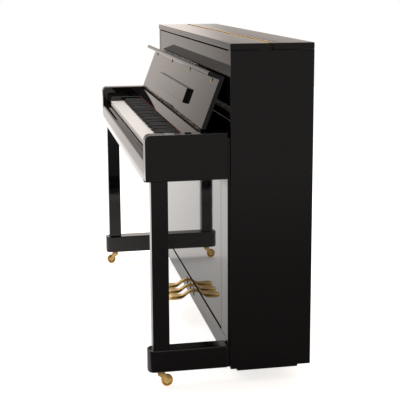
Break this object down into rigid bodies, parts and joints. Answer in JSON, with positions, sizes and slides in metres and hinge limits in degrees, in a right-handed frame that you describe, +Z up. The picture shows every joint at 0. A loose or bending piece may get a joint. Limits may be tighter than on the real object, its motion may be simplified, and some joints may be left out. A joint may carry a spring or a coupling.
{
  "type": "upright piano",
  "caption": "Compact console upright piano with an open folding fallboard, hinged lid, keys, pedals and casters.",
  "frame": {"origin": "on the floor, in the middle of the piano's footprint", "axes": "+X to the treble end, +Y from the player to the back, +Z up"},
  "size_m": [1.498, 0.53, 1.0922],
  "materials": {
    "black_lacquer": "polished black polyester lacquer, mirror gloss",
    "brass": "polished brass",
    "key_white": "white key covering, satin gloss",
    "key_black": "matt black key top",
    "red_felt": "dark red woven felt",
    "white_felt": "pressed wool felt",
    "beech": "satin clear-coated beech",
    "spruce": "varnished spruce",
    "gold_iron": "bronze-gold lacquered cast iron"
  },
  "bodies": {
    "case": {"action_frame": "beech", "arm_left": "black_lacquer", "arm_right": "black_lacquer", "back_frame": "beech", "bottom_board": "beech", "cheek_block_left": "black_lacquer", "cheek_block_right": "black_lacquer", "fall_strip": "black_lacquer", "fallboard_hinge": "brass", "hammer_row": "white_felt", "iron_plate": "gold_iron", "key_frame": "beech", "key_slip": "black_lacquer", "keybed": "beech", "keys_bass": "key_white", "keys_treble": "key_white", "leg_left": "black_lacquer", "leg_right": "black_lacquer", "lid_hinge": "brass", "lid_rear": "black_lacquer", "lower_panel": "black_lacquer", "name_felt": "red_felt", "pin_block": "beech", "plinth_rail": "black_lacquer", "side_batten_left": "black_lacquer", "side_batten_right": "black_lacquer", "side_panel_left": "black_lacquer", "side_panel_right": "black_lacquer", "soundboard": "spruce", "toe_left": "black_lacquer", "toe_right": "black_lacquer", "upper_panel": "black_lacquer"},
    "fallboard": {"fallboard": "black_lacquer"},
    "desk": {"music_desk": "black_lacquer"},
    "lid": {"lid_front": "black_lacquer"},
    "pedal_left": {"pedal_left": "brass"},
    "pedal_middle": {"pedal_middle": "brass"},
    "pedal_right": {"pedal_right": "brass"},
    "key_c": {"key_c": "key_white"},
    "key_c_sharp": {"key_c_sharp": "key_black"},
    "key_d": {"key_d": "key_white"},
    "key_d_sharp": {"key_d_sharp": "key_black"},
    "key_e": {"key_e": "key_white"},
    "key_f": {"key_f": "key_white"},
    "key_f_sharp": {"key_f_sharp": "key_black"},
    "key_g": {"key_g": "key_white"},
    "key_g_sharp": {"key_g_sharp": "key_black"},
    "key_a": {"key_a": "key_white"},
    "key_a_sharp": {"key_a_sharp": "key_black"},
    "key_b": {"key_b": "key_white"},
    "sustain_rod": {"sustain_rod": "beech"},
    "muffler": {"muffler_rail": "white_felt"},
    "fork_front_left": {"caster_fork_front_left": "brass"},
    "wheel_front_left": {"caster_wheel_front_left": "brass"},
    "fork_front_right": {"caster_fork_front_right": "brass"},
    "wheel_front_right": {"caster_wheel_front_right": "brass"},
    "fork_rear_left": {"caster_fork_rear_left": "brass"},
    "wheel_rear_left": {"caster_wheel_rear_left": "brass"},
    "fork_rear_right": {"caster_fork_rear_right": "brass"},
    "wheel_rear_right": {"caster_wheel_rear_right": "brass"}
  },
  "joints": [
    {"name": "fallboard_close", "type": "hinge", "parent": "case", "child": "fallboard", "pos_m": [0, -0.084, 0.821], "axis": [1, 0, 0], "range_deg": [0, 118]},
    {"name": "desk_fold", "type": "hinge", "parent": "fallboard", "child": "desk", "pos_m": [0, -0.0692, 0.86138], "axis": [-1, 0, 0], "range_deg": [-90, 0]},
    {"name": "lid_fold", "type": "hinge", "parent": "case", "child": "lid", "pos_m": [0, 0.1305, 1.0906], "axis": [1, 0, 0], "range_deg": [-178, 0]},
    {"name": "pedal_left_press", "type": "hinge", "parent": "case", "child": "pedal_left", "pos_m": [-0.01, 0.055, 0.118], "axis": [1, 0, 0], "range_deg": [0, 7.5], "stiffness_Nm_per_rad": 18, "springref_deg": -8.59},
    {"name": "pedal_middle_press", "type": "hinge", "parent": "case", "child": "pedal_middle", "pos_m": [0.06, 0.055, 0.118], "axis": [1, 0, 0], "range_deg": [0, 7.5], "stiffness_Nm_per_rad": 18, "springref_deg": -8.59},
    {"name": "pedal_right_press", "type": "hinge", "parent": "case", "child": "pedal_right", "pos_m": [0.13, 0.055, 0.118], "axis": [1, 0, 0], "range_deg": [0, 7.5], "stiffness_Nm_per_rad": 18, "springref_deg": -8.59},
    {"name": "press_c", "type": "hinge", "parent": "case", "child": "key_c", "pos_m": [-0.05875, -0.015, 0.745], "axis": [1, 0, 0], "range_deg": [0, 2.6], "stiffness_Nm_per_rad": 1, "springref_deg": -5.73},
    {"name": "press_c_sharp", "type": "hinge", "parent": "case", "child": "key_c_sharp", "pos_m": [-0.04935, -0.015, 0.745], "axis": [1, 0, 0], "range_deg": [0, 3.3], "stiffness_Nm_per_rad": 1, "springref_deg": -5.73},
    {"name": "press_d", "type": "hinge", "parent": "case", "child": "key_d", "pos_m": [-0.03525, -0.015, 0.745], "axis": [1, 0, 0], "range_deg": [0, 2.6], "stiffness_Nm_per_rad": 1, "springref_deg": -5.73},
    {"name": "press_d_sharp", "type": "hinge", "parent": "case", "child": "key_d_sharp", "pos_m": [-0.02115, -0.015, 0.745], "axis": [1, 0, 0], "range_deg": [0, 3.3], "stiffness_Nm_per_rad": 1, "springref_deg": -5.73},
    {"name": "press_e", "type": "hinge", "parent": "case", "child": "key_e", "pos_m": [-0.01175, -0.015, 0.745], "axis": [1, 0, 0], "range_deg": [0, 2.6], "stiffness_Nm_per_rad": 1, "springref_deg": -5.73},
    {"name": "press_f", "type": "hinge", "parent": "case", "child": "key_f", "pos_m": [0.01175, -0.015, 0.745], "axis": [1, 0, 0], "range_deg": [0, 2.6], "stiffness_Nm_per_rad": 1, "springref_deg": -5.73},
    {"name": "press_f_sharp", "type": "hinge", "parent": "case", "child": "key_f_sharp", "pos_m": [0.02014, -0.015, 0.745], "axis": [1, 0, 0], "range_deg": [0, 3.3], "stiffness_Nm_per_rad": 1, "springref_deg": -5.73},
    {"name": "press_g", "type": "hinge", "parent": "case", "child": "key_g", "pos_m": [0.03525, -0.015, 0.745], "axis": [1, 0, 0], "range_deg": [0, 2.6], "stiffness_Nm_per_rad": 1, "springref_deg": -5.73},
    {"name": "press_g_sharp", "type": "hinge", "parent": "case", "child": "key_g_sharp", "pos_m": [0.047, -0.015, 0.745], "axis": [1, 0, 0], "range_deg": [0, 3.3], "stiffness_Nm_per_rad": 1, "springref_deg": -5.73},
    {"name": "press_a", "type": "hinge", "parent": "case", "child": "key_a", "pos_m": [0.05875, -0.015, 0.745], "axis": [1, 0, 0], "range_deg": [0, 2.6], "stiffness_Nm_per_rad": 1, "springref_deg": -5.73},
    {"name": "press_a_sharp", "type": "hinge", "parent": "case", "child": "key_a_sharp", "pos_m": [0.07386, -0.015, 0.745], "axis": [1, 0, 0], "range_deg": [0, 3.3], "stiffness_Nm_per_rad": 1, "springref_deg": -5.73},
    {"name": "press_b", "type": "hinge", "parent": "case", "child": "key_b", "pos_m": [0.08225, -0.015, 0.745], "axis": [1, 0, 0], "range_deg": [0, 2.6], "stiffness_Nm_per_rad": 1, "springref_deg": -5.73},
    {"name": "rod_lift", "type": "slide", "parent": "case", "child": "sustain_rod", "axis": [0, 0, 1], "range_m": [0, 0.008]},
    {"name": "muffler_drop", "type": "slide", "parent": "case", "child": "muffler", "axis": [0, 0, -1], "range_m": [0, 0.03]},
    {"name": "swivel_front_left", "type": "hinge", "parent": "case", "child": "fork_front_left", "pos_m": [-0.7165, -0.2225, 0.05], "axis": [0, 0, 1], "continuous": true},
    {"name": "wheel_front_left", "type": "hinge", "parent": "fork_front_left", "child": "wheel_front_left", "pos_m": [-0.7165, -0.2425, 0.0195], "axis": [1, 0, 0], "continuous": true},
    {"name": "swivel_front_right", "type": "hinge", "parent": "case", "child": "fork_front_right", "pos_m": [0.7165, -0.2225, 0.05], "axis": [0, 0, 1], "continuous": true},
    {"name": "wheel_front_right", "type": "hinge", "parent": "fork_front_right", "child": "wheel_front_right", "pos_m": [0.7165, -0.2025, 0.0195], "axis": [1, 0, 0], "continuous": true},
    {"name": "swivel_rear_left", "type": "hinge", "parent": "case", "child": "fork_rear_left", "pos_m": [-0.6, 0.22, 0.05], "axis": [0, 0, 1], "continuous": true},
    {"name": "wheel_rear_left", "type": "hinge", "parent": "fork_rear_left", "child": "wheel_rear_left", "pos_m": [-0.6, 0.24, 0.0195], "axis": [1, 0, 0], "continuous": true},
    {"name": "swivel_rear_right", "type": "hinge", "parent": "case", "child": "fork_rear_right", "pos_m": [0.6, 0.22, 0.05], "axis": [0, 0, 1], "continuous": true},
    {"name": "wheel_rear_right", "type": "hinge", "parent": "fork_rear_right", "child": "wheel_rear_right", "pos_m": [0.6, 0.24, 0.0195], "axis": [1, 0, 0], "continuous": true}
  ],
  "couplings": [
    {"joint": "rod_lift", "follows": "pedal_right_press", "m_per_rad": 0.057},
    {"joint": "muffler_drop", "follows": "pedal_middle_press", "m_per_rad": 0.22}
  ]
}
